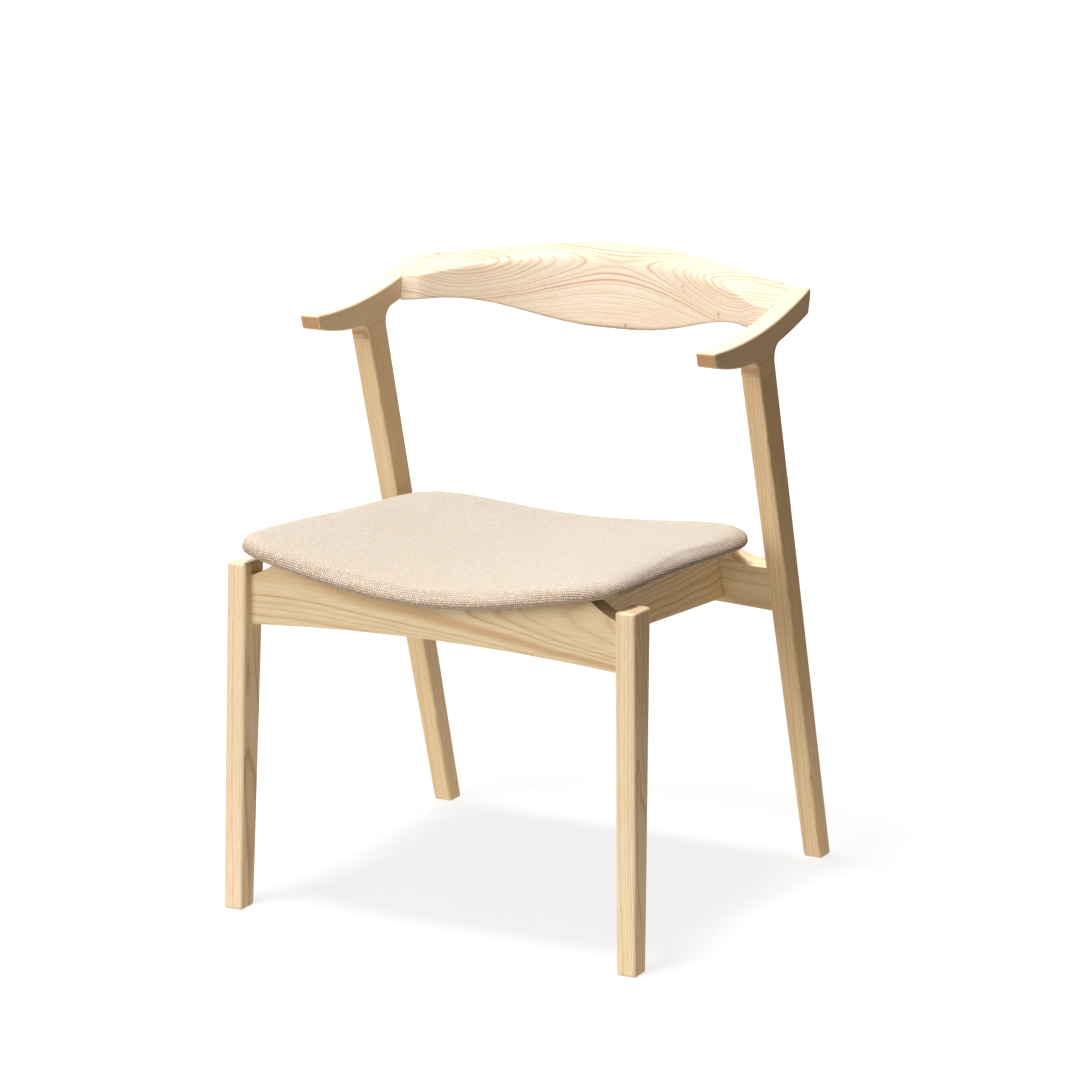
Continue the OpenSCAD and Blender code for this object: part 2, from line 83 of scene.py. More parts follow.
LIGHT_WOOD = srgb(244, 228, 198)
DARK_WOOD = srgb(203, 152, 94)
PATCH_TINT = (0.97, 0.95, 0.91)
PORE_TINT = (0.7, 0.62, 0.52)
KNOT = srgb(122, 84, 50)
KNOT_HALO = srgb(196, 150, 102)
# Painted shade: the dark colour of the pits between the cloth's yarns. The dull yarn colour is
# partly painted shade, round the pad's edge.
FABRIC_PIT_SHADE = srgb(160, 129, 99)
FABRIC_YARN = srgb(229, 226, 217)
FABRIC_DULL_AND_EDGE_SHADE = srgb(194, 173, 147)
FOAM_PIT, FOAM_WALL = srgb(236, 226, 190), srgb(206, 192, 150)
FLEECE_PIT = srgb(38, 37, 36)
FLEECE_DARK, FLEECE_LIGHT = srgb(52, 50, 48), srgb(78, 75, 72)
PLY_ALONG, PLY_ACROSS = srgb(219, 188, 143), srgb(190, 152, 106)
ZINC = srgb(196, 198, 202)
YELLOW_ZINC = srgb(205, 176, 112)
METAL_CLOUD_TINT = (0.82, 0.83, 0.85)
WHITE = (1, 1, 1)

# --- node trees ------------------------------------------------------------------------------


class Tree:
    """Short ways to build a material's node tree."""

    def __init__(self, name):
        self.material = bpy.data.materials.new(name)
        self.material.use_nodes = True
        self.nodes = self.material.node_tree.nodes
        self.links = self.material.node_tree.links
        self.shader = self.nodes["Principled BSDF"]

    def put(self, socket, value):
        if isinstance(value, bpy.types.NodeSocket):
            self.links.new(value, socket)
        else:
            socket.default_value = value

    def add(self, kind, *values, out=0, named=None, **settings):
        node = self.nodes.new("ShaderNode" + kind)
        for key, value in settings.items():
            setattr(node, key, value)
        for socket, value in zip(node.inputs, values):
            if value is not None:
                self.put(socket, value)
        for key, value in (named or {}).items():
            self.put(node.inputs[key], value)
        return node.outputs[out]

    def object_place(self):
        return self.add("TexCoord", out=3)

    def normal(self):
        return self.add("NewGeometry", out=1)

    def flat_cloth(self):
        return self.add("UVMap", uv_map="cloth")

    def math(self, operation, a, b=0.0, clamp=False):
        return self.add("Math", a, b, operation=operation, use_clamp=clamp)

    def plus(self, a, b):
        return self.math("ADD", a, b)

    def times(self, a, b, clamp=False):
        return self.math("MULTIPLY", a, b, clamp)

    def power(self, a, b):
        return self.math("POWER", a, b)

    def absolute(self, value):
        return self.math("ABSOLUTE", value)

    def part(self, vector, axis):
        return self.add("SeparateXYZ", vector, out="xyz".index(axis))

    def vector(self, operation, a, b=(0, 0, 0), out=0):
        return self.add("VectorMath", a, b, operation=operation, out=out)

    def stretch(self, vector, factors):
        return self.vector("MULTIPLY", vector, factors)

    def length(self, vector):
        return self.vector("LENGTH", vector, out=1)

    def dot(self, vector, direction):
        return self.vector("DOT_PRODUCT", vector, direction, out=1)

    def noise(self, vector, scale=1.0, detail=2.0, roughness=0.5, out=0):
        named = {"Vector": vector, "Scale": scale, "Detail": detail, "Roughness": roughness}
        return self.add("TexNoise", named=named, out=out)

    def noise_1d(self, w, scale, detail=1.0):
        named = {"W": w, "Scale": scale, "Detail": detail}
        return self.add("TexNoise", named=named, noise_dimensions="1D")

    def shaken(self, vector, place, scale, detail, reach):
        """The vector moved about by a noise at the place, by up to half of reach, in metres."""
        drift = self.noise(place, scale, detail, out=1)
        drift = self.vector("SUBTRACT", drift, (0.5, 0.5, 0.5))
        return self.vector("ADD", vector, self.stretch(drift, (reach, reach, 0)))

    def ramp(self, value, stops):
        out = self.add("ValToRGB", value)
        elements = out.node.color_ramp.elements
        while len(elements) < len(stops):
            elements.new(0.5)
        for element, (place, colour) in zip(elements, stops):
            element.position = place
            element.color = (*colour, 1) if hasattr(colour, "__len__") else (colour,) * 3 + (1,)
        return out

    def span(self, value, start, end, low=0.0, high=1.0):
        """From low to high with a soft start and end, as the value goes from start to end."""
        return self.add(
            "MapRange", value, start, end, low, high, interpolation_type="SMOOTHSTEP"
        )

    def mix(self, share, a, b, blend="MIX"):
        a, b = ((*v, 1) if isinstance(v, tuple) and len(v) == 3 else v for v in (a, b))
        return self.add("MixRGB", share, a, b, blend_type=blend)

    def shaded(self, colour, value, stops):
        """The colour multiplied by a ramp of the value."""
        return self.mix(1.0, colour, self.ramp(value, stops), "MULTIPLY")

    def bump(self, height, strength, distance):
        named = {"Height": height, "Strength": strength, "Distance": distance}
        return self.add("Bump", named=named)

    def surface(self, **values):
        """Sets the shader's sockets by their names, in lower case with underscores."""
        for key, value in values.items():
            socket = key.replace("_", " ").title().replace("Ior", "IOR")
            self.put(self.shader.inputs[socket], value)
        return self.material


# --- wood ------------------------------------------------------------------------------------


def growth(t, log, ring, bend, wobble, tighten):
    """Distance from the pith in mm, and the same counted in growth rings."""
    x, y, z = (t.part(log, axis) for axis in "xyz")
    y = t.plus(y, t.times(t.times(x, x), bend))
    slow = t.stretch(log, (0.25, 1, 1))
    waver = t.math("SUBTRACT", t.noise(slow, scale=0.022), 0.5)
    ripple = t.math("SUBTRACT", t.noise(slow, scale=0.11), 0.5)
    radius = t.length(t.add("CombineXYZ", 0.0, y, z))
    radius = t.plus(radius, t.times(waver, 4.0 * wobble))
    radius = t.plus(radius, t.times(ripple, 0.7 * wobble))
    count = t.times(radius, t.plus(t.times(radius, tighten), 1 / ring))
    return radius, t.plus(count, t.times(t.noise_1d(count, scale=0.45), 1.6))


def late_wood(t, season, year):
    """How dark each ring's late wood is; season runs from 0 to 1 within the year."""
    force = t.add("TexWhiteNoise", named={"W": year}, noise_dimensions="1D")
    force = t.plus(t.times(t.power(force, 1.6), 0.8), 0.25)
    stops = [(0, 0.4), (0.1, 0.07), (0.45, 0.0), (0.76, 0.32), (0.91, 1), (1, 0.4)]
    return t.times(t.ramp(season, stops), force)


def wood(
    name, origin, along, ring, tint=WHITE, bend=0.0, contrast=1.0, knots=(), wobble=1.6,
    tighten=0.0, bold=None, end_grain=(0.9, 0.82, 0.72),
):
    """Ash cut from a log whose pith passes through origin and runs in the direction along.

    ring is a growth ring's width, which tighten makes smaller outwards, wobble how far the rings
    wander, bend how the pith curves to one side, and bold the radius of a darker ring.  tint
    multiplies the colours, end_grain those of sawn ends, and contrast how dark the late wood and
    the streaks are.  knots are (place in the frame, size).
    """
    t = Tree(name)
    place = t.object_place()
    turn = Vector(along).to_track_quat("X", "Z").to_euler()
    log = t.add("Mapping", place, Vector(origin) * MM, turn, (MM, MM, MM), vector_type="TEXTURE")
    radius, count = growth(t, log, ring, bend, wobble, tighten)
    season = t.math("FRACT", count)
    line = late_wood(t, season, t.math("FLOOR", count))
    if bold:
        off = t.absolute(t.math("SUBTRACT", radius, bold))
        line = t.math("MAXIMUM", line, t.times(t.span(off, 1.0, 0.1), 0.8))
    # Fine fibres, and the open pores that follow each ring's start
    fibre = t.noise(t.stretch(log, (0.025, 1.7, 1.7)), detail=3.0, roughness=0.6)
    pore = t.span(t.noise(t.stretch(log, (0.16, 3.4, 3.4)), detail=1.0), 0.6, 0.72)
    pore = t.times(pore, t.ramp(season, [(0, 1), (0.3, 0.25), (0.85, 0.5), (1, 1)]))
    patch = t.span(t.noise(t.stretch(log, (0.006, 0.03, 0.03))), 0.3, 0.7)
    light = t.mix(patch, scaled(LIGHT_WOOD, tint), scaled(LIGHT_WOOD, PATCH_TINT, tint))
    colour = t.mix(t.times(line, 0.95 * contrast, clamp=True), light, scaled(DARK_WOOD, tint))
    colour = t.shaded(colour, fibre, [(0.3, (0.93, 0.915, 0.89)), (0.7, WHITE)])
    streak = t.noise(t.stretch(log, (0.011, 0.5, 0.5)), detail=3.0, roughness=0.6)
    streaky = t.shaded(colour, streak, [(0.36, (0.935, 0.9, 0.845)), (0.6, WHITE)])
    colour = t.mix(min(contrast, 1.0), colour, streaky)
    colour = t.mix(t.times(pore, 0.28), colour, scaled(DARK_WOOD, PORE_TINT))
    # End grain takes up more lacquer and looks darker
    facing = t.absolute(t.dot(t.normal(), tuple(Vector(along).normalized())))
    sawn = t.mix(1.0, colour, end_grain, "MULTIPLY")
    colour = t.mix(t.times(t.span(facing, 0.7, 0.98), 0.8), colour, sawn)
    for spot, size in knots:
        away = t.vector("DISTANCE", place, tuple(Vector(spot) * MM), out=1)
        colour = t.mix(t.span(away, size * MM, 0.35 * size * MM), colour, KNOT)
        halo = t.span(away, 3.5 * size * MM, 0.0)
        colour = t.mix(t.times(halo, 0.35), colour, KNOT_HALO)
    relief = t.plus(t.times(fibre, 0.5), t.times(pore, -0.8))
    return t.surface(
        base_color=colour, roughness=t.plus(t.times(fibre, 0.1), 0.43),
        normal=t.bump(relief, strength=0.35, distance=0.12 * MM),
    )


# --- wooden pieces ---------------------------------------------------------------------------

SIDES = (("left", -1), ("right", 1))
WOODEN = ["back_rail", "front_rail", "rear_rail"] + [
    f"{kind}_{side}" for kind in ("front_leg", "rear_leg", "arm", "side_rail") for side, _ in SIDES
]
SEAM_GAP = 0.4
SHARP = math.radians(35)
COPLANAR = math.radians(0.4)
# Lengths of the edges round a dowel hole
HOLE_STEP = (0.6, 0.72)


def tree_of_faces(mesh):
    return BVHTree.FromPolygons([v.co for v in mesh.vertices], [p.vertices for p in mesh.polygons])


solids = {node: tree_of_faces(cad[node].data) for node in WOODEN}


def at_a_seam(node, point):
    """True where a wooden piece's point also lies on another wooden piece."""
    return any(
        solids[other].find_nearest(point, SEAM_GAP * MM)[0] is not None
        for other in WOODEN if other != node
    )


def link(mesh, name):
    piece = bpy.data.objects.new(name, mesh)
    scene.collection.objects.link(piece)
    return piece


def mesh_of(name, points, faces, smooth=False):
    mesh = bpy.data.meshes.new(name)
    mesh.from_pydata(points, [], faces)
    for p in mesh.polygons:
        p.use_smooth = smooth
    return mesh


def finish_piece(piece, node, material):
    """Gives the piece this as its only material, hangs it on the root body and hides the CAD node
    in its place.
    """
    piece.data.materials.clear()
    piece.data.materials.append(material)
    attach(piece, "root")
    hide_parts(node)


def rounded_copy(node, rounding, segments, clamp=True, **looks):
    """The CAD piece in ash from a log of its own, with its long edges rounded over, but not where
    it meets another piece."""
    mesh = bpy.data.meshes.new(node + "_sanded")
    bm = bmesh.new()
    bm.from_mesh(cad[node].data)
    bmesh.ops.remove_doubles(bm, verts=bm.verts, dist=0.01 * MM)
    bmesh.ops.dissolve_limit(bm, angle_limit=COPLANAR, verts=bm.verts, edges=bm.edges)
    weight = bm.edges.layers.float.new("bevel_weight_edge")
    seam = {v.index: at_a_seam(node, v.co) for v in bm.verts}
    for e in bm.edges:
        if len(e.link_faces) != 2:
            continue
        turn = e.calc_face_angle_signed()
        if abs(turn) > SHARP:
            e.smooth = False
        round_a_hole = HOLE_STEP[0] * MM < e.calc_length() < HOLE_STEP[1] * MM
        if turn > SHARP and not round_a_hole and not all(seam[v.index] for v in e.verts):
            e[weight] = 1.0
            e.smooth = True
    bm.to_mesh(mesh)
    bm.free()
    for p in mesh.polygons:
        p.use_smooth = True
    piece = link(mesh, node + "_sanded")
    bevel = piece.modifiers.new("Rounding", "BEVEL")
    bevel.limit_method = "WEIGHT"
    bevel.width = rounding * MM
    bevel.segments = segments
    bevel.use_clamp_overlap = clamp
    bevel.miter_outer = "MITER_ARC"
    level = piece.modifiers.new("Flat faces", "WEIGHTED_NORMAL")
    level.keep_sharp = True
    level.weight = 60
    finish_piece(piece, node, wood("ash_" + node, **looks))


# The CAD source's sizes of the arms' tops and the back rail
INNER_X = 236
ARM_LOW_Z = 649.5
ARM_SWEEP_R = 651.0
ARM_SWEEP_Y = 215
ARM_END_Y = 430
BACK_REACH = 240
BACK_HOLLOW_R = 312
BACK_MID_Y = 452
BACK_END_Y = 368
BACK_REAR_R = 330
BACK_REAR_Y = 486
BACK_REAR_SLOPE = 0.22
BACK_UNDER_REACH = 195
BACK_LOW_Z = 611
BACK_LOW_RISE = 31
BACK_TOP_Z = 711
BACK_LEAN = 0.12
BACK_LEDGE = 15
SOFTNESS = 8
# How finely it is built here: its sections, the points of a section's corner, and the parts of
# the side after each corner
BACK_SECTIONS = 161
CORNER_POINTS = 9
SIDE_PARTS = (10, 6, 10, 5)
# Between which distances from the middle the dip of its top sets in
DIP_RANGE = (180, 230)


def wave(x, reach):
    return 0.5 + 0.5 * np.cos(np.pi * np.minimum(np.abs(x) / reach, 1))


def soft_max(a, b, k):
    return (a + b + np.sqrt((a - b) ** 2 + k * k)) / 2


def arc(middle, radius, x):
    return middle - radius + math.sqrt(radius**2 - x * x)


def arm_top_z(y):
    return ARM_LOW_Z + ARM_SWEEP_R - np.sqrt(ARM_SWEEP_R**2 - (y - ARM_SWEEP_Y) ** 2)


def bezier_corner(a, b, c, r):
    """The corner at b between a and c, rounded by a quadratic curve that starts r away."""
    p = b + r * (a - b) / np.linalg.norm(a - b)
    q = b + r * (c - b) / np.linalg.norm(c - b)
    t = np.linspace(0, 1, CORNER_POINTS)[:, None]
    return p * (1 - t) ** 2 + 2 * b * t * (1 - t) + q * t * t


def back_section(x):
    """Outline of the back rail at x, as points [y, z]: the CAD source's own section, with more
    points, and in the middle with a rounder edge between its front and its top."""
    w = wave(x, BACK_REACH)
    e = 1 - w
    front = soft_max(arc(BACK_MID_Y, BACK_HOLLOW_R, x), BACK_END_Y, SOFTNESS)
    low = BACK_LOW_Z + BACK_LOW_RISE * (1 - wave(x, BACK_UNDER_REACH)) ** 1.35
    low -= 3.4 * (max(abs(x) - 190, 0) / 46) ** 1.5
    end_z = arm_top_z(ARM_END_Y)
    top = end_z + (BACK_TOP_Z - end_z) * w**0.626
    rear_end = ARM_END_Y - 1 + BACK_REAR_SLOPE * (INNER_X - abs(x))
    rear = soft_max(arc(BACK_REAR_Y, BACK_REAR_R, x), rear_end, SOFTNESS)
    rear_low = low + 3 + 18 * e**1.5
    ledge = top - (BACK_LEDGE + 2.6 * e**12)
    corner = [
        np.array([front, low]),
        np.array([front + BACK_LEAN * (ledge - low), ledge]),
        np.array([rear, top]),
        np.array([rear - (BACK_LEAN + 0.06 * e) * (top - rear_low), rear_low]),
    ]
    radius = [3 + 3 * w, 3 + 12 * w, 4 + 6 * w, 5 + 3 * w]
    bends = [
        bezier_corner(corner[i - 1], corner[i], corner[(i + 1) % 4], radius[i]) for i in range(4)
    ]
    points = []
    for i, parts in enumerate(SIDE_PARTS):
        start, end = bends[i][-1], bends[(i + 1) % 4][0]
        points += list(bends[i])
        points += [start + (end - start) * k / parts for k in range(1, parts)]
    points = np.array(points)
    # Close to the rail's ends its top dips to the arms' hollow tops
    over = np.maximum(points[:, 1] - arm_top_z(points[:, 0]) + 0.05, 0)
    dip = over * smooth_step(abs(x), *DIP_RANGE)
    points[:, 1] -= np.where(points[:, 0] < ARM_END_Y, dip, 0)
    return points


def back_rail(material):
    xs = np.linspace(-INNER_X, INNER_X, BACK_SECTIONS)
    rows = [back_section(float(x)) for x in xs]
    count = len(rows[0])
    points = [(x * MM, y_at(y) * MM, z * MM) for x, row in zip(xs, rows) for y, z in row]
    faces = []
    for start in range(0, count * (BACK_SECTIONS - 1), count):
        for i in range(count):
            a, b = start + i, start + (i + 1) % count
            faces.append((a, b, b + count, a + count))
    last = count * (BACK_SECTIONS - 1)
    faces += [tuple(range(count))[::-1], tuple(range(last, last + count))]
    mesh = mesh_of("back_rail_sanded", points, faces)
    bm = bmesh.new()
    bm.from_mesh(mesh)
    bmesh.ops.recalc_face_normals(bm, faces=bm.faces)
    ends = [f for f in bm.faces if len(f.verts) > 4]
    for f in bm.faces:
        f.smooth = f not in ends
    for f in ends:
        for e in f.edges:
            e.smooth = False
    bm.to_mesh(mesh)
    bm.free()
    finish_piece(link(mesh, "back_rail_sanded"), "back_rail", material)


LEG_LEAN = 0.0186
for side, sign in SIDES:
    # Painted shade: the right rear leg and arm are made a little darker than the left ones, as
    # less light falls on the chair's right side
    painted_shade_tone = (1 - 0.03 * sign,) * 3
    # Painted shade: the front legs' sawn tops are darker than end grain alone makes them, for the
    # seat pad's shadow over them
    rounded_copy(
        f"front_leg_{side}", rounding=3.3, segments=5, origin=(sign * 246 + 78, y_at(30), 0),
        along=(-sign * LEG_LEAN + 0.006, -0.065, 1), ring=2.0, tint=(1.01, 1.02, 1.02),
        contrast=1.6, end_grain=(0.78, 0.71, 0.6),
    )
    rounded_copy(
        f"rear_leg_{side}", rounding=3.0, segments=5, origin=(sign * 248 + 62, y_at(333), 300),
        along=(0.05, -0.295, 1), ring=1.9, tint=scaled((0.99, 0.93, 0.825), painted_shade_tone),
        contrast=1.0 + 0.25 * sign,
    )
    rounded_copy(
        f"arm_{side}", rounding=2.8, segments=5, clamp=False,
        origin=(sign * 248 + 66, y_at(300), 700), along=(0.03, 1, 0.1), ring=3.1,
        tint=scaled((1.02, 0.975, 0.965), painted_shade_tone), contrast=0.5, end_grain=(0.63, 0.43, 0.26),
    )
    rounded_copy(
        f"side_rail_{side}", rounding=1.4, segments=3, origin=(sign * 150, y_at(200), 300),
        along=(sign * 0.01, 1, 0.02), ring=8.0, tint=(1.04, 1.02, 0.97), wobble=5.0,
    )
    for end, y in (("front", 60), ("rear", 385)):
        rounded_copy(
            f"corner_block_{end}_{side}", rounding=0.8, segments=2,
            origin=(sign * 100, y_at(y), 340), along=(sign, 0.4, 0.1), ring=3.4,
            tint=(0.95, 0.92, 0.85), contrast=0.9,
        )
rounded_copy(
    "front_rail", rounding=1.4, segments=3, origin=(0, y_at(112.7), 388),
    along=(1, -0.0384, 0), ring=3.1, bend=0.000105, tint=(1.02, 1.005, 0.95),
    contrast=1.15, wobble=0.9,
)
rounded_copy(
    "rear_rail", rounding=1.4, segments=3, origin=(0, y_at(450), 330), along=(1, 0.02, 0.02),
    ring=8.5, tint=(1.0, 0.985, 0.94), contrast=0.9, wobble=3.5,
)
back_rail(wood(
    "ash_back_rail", origin=(0, y_at(405), 705), along=(1, 0.0, 0.0), ring=6.7, tighten=0.001475,
    bold=65, tint=(0.875, 0.9, 1.03), end_grain=(1.0, 0.98, 0.95), wobble=0.9,
    knots=[((92.3, 197.1, 670.2), 1.4), ((152.8, 166.6, 647.6), 1.9),
           ((15.3, 205.5, 617.1), 1.8), ((-129.2, 188.5, 687.9), 1.5)],
))

# --- seat ------------------------------------------------------------------------------------

# The CAD source's sizes of the seat
HALF_WIDTH = 238
WAIST = 8
FRONT_Y = -15
REAR_Y = 393
REAR_BOW = 5
FRONT_ROUND, REAR_ROUND = 9.0, 6.5
SEAT_MID = (REAR_Y + FRONT_Y) / 2
SEAT_UNIT = 200
SEAT_H = 397
EDGE = 8.5
CLOTH = 1.2
FOAM_LOW = 8.7
TURN_STEP = 0.008
MIDDLE = np.array([0, SEAT_MID])

# The pad's edge: how far in the top starts to round over, how high the widest point is over the
# underside, how far in the hem turns under, and the rings that each of the three takes
SHOULDER = 21.0
BULGE = 5.0
UNDERCUT = 4.5
SHOULDER_RINGS = 10
UNDER_RINGS = 7
HEM_INSETS = (12, 17, 22, 27, 32, 34)
EDGE_RINGS = SHOULDER_RINGS + UNDER_RINGS + len(HEM_INSETS)
CROWN = 1.8
COVER_GRID = 44
RISE_CAP = 2.2
RISE_FADE = (2, 13)
SIM_FRAMES = 20

# The foam: how far it stays inside the cover's outer side, how many of the cover's rings its sides
# follow, and where the rings of its underside lie between the middle and its rim
FOAM_GAP = CLOTH + 0.3
FOAM_RINGS = 7
FOAM_UNDER_SHARES = (0.8, 0.6, 0.4, 0.2, 0.07)

# The dust cover: how far it is set in and hangs under the seat's underside, and its ripples
DUST_GRID = 36
DUST_INSET = 20.0
DUST_GAP = 0.35
DUST_RIPPLE = 0.108


def seat_under(x, y):
    """Height of the saddle-shaped seat's underside."""
    u, v = x / SEAT_UNIT, (y - SEAT_MID) / SEAT_UNIT
    return (
        SEAT_H - 4.4 * v - 3.3 * v**2 + 7.1 * v**3
        + (27.4 - 8.6 * v + 1.1 * v**2 - 1.1 * v**3) * u**2 - (9.4 - v) * u**4 - EDGE
    )


def over_underside(p, height):
    """The points [x, y] as [x, y, z] at this height over the seat's underside."""
    return np.column_stack([p, seat_under(p[:, 0], p[:, 1]) + height])


def outline(angle):
    """Points of the seat's outline at these angles."""
    c, s = np.cos(angle), np.sin(angle)
    n = np.where(s < 0, FRONT_ROUND, REAR_ROUND)
    k = (np.abs(c) ** n + np.abs(s) ** n) ** (-1 / n)
    t = k * s
    x = (HALF_WIDTH - WAIST * t - WAIST * (1 - t * t)) * k * c
    rear = REAR_Y + REAR_BOW * (x / HALF_WIDTH) ** 2
    return np.stack([x, (FRONT_Y + rear) / 2 + (rear - FRONT_Y) / 2 * t], -1)


def outward(angle):
    d = outline(angle + TURN_STEP) - outline(angle - TURN_STEP)
    n = np.stack([d[:, 1], -d[:, 0]], -1)
    return n / np.linalg.norm(n, axis=1)[:, None]


def square_grid(m):
    """Points of a grid with 2 m cells a side: each point's share of the way from the middle to
    the edge, its angle, and the indices of the edge's points in order."""
    i, j = np.meshgrid(np.arange(-m, m + 1), np.arange(-m, m + 1), indexing="ij")
    share = (np.maximum(abs(i), abs(j)) / m).ravel()
    angle = np.arctan2(j, i).astype(float).ravel()
    rim = np.flatnonzero(share == 1)
    return share, angle, rim[np.argsort(angle[rim] % (2 * np.pi))]


def grid_faces(m):
    n = 2 * m + 1
    return [
        (a * n + b, (a + 1) * n + b, (a + 1) * n + b + 1, a * n + b + 1)
        for a in range(2 * m) for b in range(2 * m)
    ]


def filled(share, angle, inset):
    """The grid's points [x, y] over the outline set in by this much."""
    rim = outline(angle) - inset * outward(angle) - MIDDLE
    return rim * share[:, None] + MIDDLE


def add_ring(faces, before, start):
    """Joins the ring of points that starts at start to the one before it, and returns it."""
    ring = list(range(start, start + len(before)))
    faces += [(before[k - 1], ring[k - 1], ring[k], before[k]) for k in range(len(ring))]
    return ring


def edge_profile():
    """The rings beyond the pad's top, as (set in from the outline, height over the underside)."""
    rings = []
    for a in np.radians(np.linspace(90, 0, SHOULDER_RINGS + 1))[1:]:
        rings.append((SHOULDER * (1 - math.cos(a)), BULGE + (2 * EDGE - BULGE) * math.sin(a)))
    for a in np.radians(np.linspace(0, -90, UNDER_RINGS + 1))[1:]:
        rings.append((UNDERCUT * (1 - math.cos(a)), BULGE + BULGE * math.sin(a)))
    return rings + [(inset, 0.0) for inset in HEM_INSETS]


def cover_surface():
    """Outer side of the seat's cover: top, rounded edge and hem.  Returns the points, the faces,
    each point's place in the flat cloth, and the indices of the hem's last ring."""
    share, angle, rim = square_grid(COVER_GRID)
    top = filled(share, angle, SHOULDER)
    points = [over_underside(top, 2 * EDGE + CROWN * (1 - share**3))]
    cloth = [top]
    faces = grid_faces(COVER_GRID)
    base, out = outline(angle[rim]), outward(angle[rim])
    rings = edge_profile()
    steps = np.diff(np.array([(SHOULDER, 2 * EDGE)] + rings), axis=0)
    lengths = np.cumsum(np.linalg.norm(steps, axis=1))
    ring, start = list(rim), len(top)
    for (inset, height), length in zip(rings, lengths):
        points.append(over_underside(base - inset * out, height))
        cloth.append(base + (length - SHOULDER) * out)
        ring = add_ring(faces, ring, start)
        start += len(rim)
    return np.vstack(points), faces, np.vstack(cloth), ring


def foam_inside(cover):
    """The foam under the cover: its top and sides follow the cover, its underside the board."""
    share, angle, rim = square_grid(COVER_GRID)
    out = outward(angle[rim])
    rings = []
    for k in range(FOAM_RINGS):
        start = len(share) + k * len(rim)
        turn = math.radians(90 - 90 / SHOULDER_RINGS * (k + 1))
        inwards = np.column_stack([-out * math.cos(turn), np.full(len(rim), -math.sin(turn))])
        rings.append(cover[start : start + len(rim)] + FOAM_GAP * inwards)
    base = rings[-1][:, :2]
    for s in (1,) + FOAM_UNDER_SHARES:
        rings.append(over_underside((base - MIDDLE) * s + MIDDLE, FOAM_LOW))
    faces = grid_faces(COVER_GRID)
    ring, start = list(rim), len(share)
    for _ in rings:
        ring = add_ring(faces, ring, start)
        start += len(rim)
    faces.append(tuple(ring))
    return np.vstack([cover[: len(share)] - [0, 0, FOAM_GAP]] + rings), faces


def swell(points, faces, hem):
    """Blows the cover up a little with Blender's cloth, held along its hem, and returns how far
    each point moves: only outwards, at most RISE_CAP, and less and less down the edge."""
    closed = faces + [(hem[k], hem[k - 1], len(points)) for k in range(len(hem))]
    corners = np.vstack([points, points[hem].mean(0)])
    mesh = mesh_of("swelling", list(to_metres(corners)), closed)
    bm = bmesh.new()
    bm.from_mesh(mesh)
    bmesh.ops.recalc_face_normals(bm, faces=bm.faces)
    bm.to_mesh(mesh)
    bm.free()
    body = link(mesh, "swelling")
    held = body.vertex_groups.new(name="held")
    first_held = len(points) - len(HEM_INSETS) * len(hem)
    held.add(list(range(first_held, len(corners))), 1.0, "REPLACE")
    cloth = body.modifiers.new("Cloth", "CLOTH").settings
    cloth.quality = 6
    cloth.mass = 0.25
    cloth.tension_stiffness = cloth.compression_stiffness = 25
    cloth.shear_stiffness = 12
    cloth.bending_stiffness = 2
    cloth.vertex_group_mass = "held"
    cloth.use_pressure = True
    cloth.uniform_pressure_force = 4
    cloth.effector_weights.gravity = 0
    for step in range(1, SIM_FRAMES + 1):
        scene.frame_set(step)
    shape = body.evaluated_get(bpy.context.evaluated_depsgraph_get()).data
    co = np.zeros(len(shape.vertices) * 3)
    shape.vertices.foreach_get("co", co)
    moved = co.reshape(-1, 3)[: len(points)] / MM + np.array([0, CENTRE_Y, 0]) - points
    scene.frame_set(1)
    normals = np.zeros(len(body.data.vertices) * 3)
    body.data.vertices.foreach_get("normal", normals)
    normals = normals.reshape(-1, 3)[: len(points)]
    bpy.data.objects.remove(body)
    rise = np.maximum((moved * normals).sum(1), 0)
    rise = rise * RISE_CAP / (rise + RISE_CAP)
    beyond_top = np.arange(len(points)) - (len(points) - EDGE_RINGS * len(hem))
    ring = np.maximum(beyond_top, 0) // len(hem)
    return normals * (rise * (1 - smooth_step(ring, *RISE_FADE)))[:, None]


# Two warp yarns, or two weft yarns
WEAVE_PITCH = 5.2


def foam(name):
    """Open-cell foam."""
    t = Tree(name)
    cells = t.add("TexVoronoi", named={"Vector": t.object_place(), "Scale": 1400.0})
    colour = t.mix(t.span(cells, 0.1, 0.5), FOAM_PIT, FOAM_WALL)
    return t.surface(
        base_color=colour, roughness=1.0, normal=t.bump(cells, strength=0.6, distance=0.4 * MM)
    )


